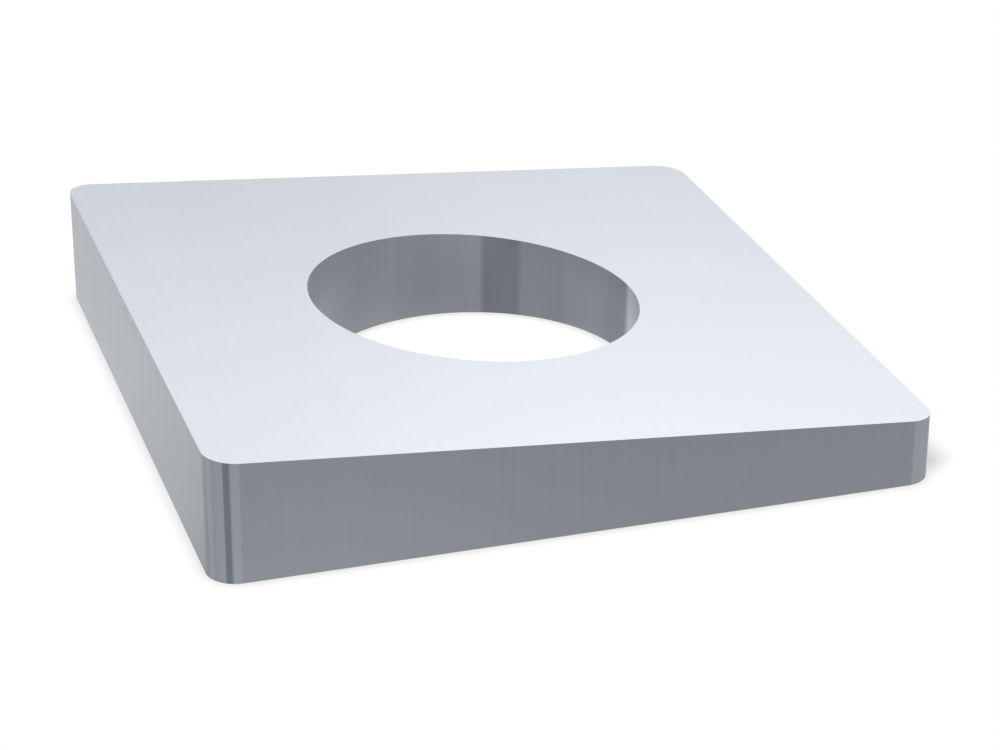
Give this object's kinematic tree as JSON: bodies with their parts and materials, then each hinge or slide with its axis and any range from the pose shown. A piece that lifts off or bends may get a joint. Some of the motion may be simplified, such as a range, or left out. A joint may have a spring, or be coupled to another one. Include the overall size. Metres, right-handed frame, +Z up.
{
  "type": "square taper washer",
  "caption": "Square steel washer of wedge section, with a flat underside, a sloping face and a plain bore, for seating a bolt head or nut squarely on a channel's tapered flange.",
  "frame": {"origin": "centre of the bolt bore on the flat underside", "axes": "+Z up the bore, out of the sloping face; +X down the slope, from the thick edge to the thin one; +Y across the slope, where the thickness is even"},
  "size_m": [0.022, 0.022, 0.0038],
  "materials": {
    "steel": "bright rolled faces, cleanly cut walls and a punched bore, uncoated and unworn"
  },
  "bodies": {
    "root": {"taper_washer": "steel"}
  },
  "joints": []
}
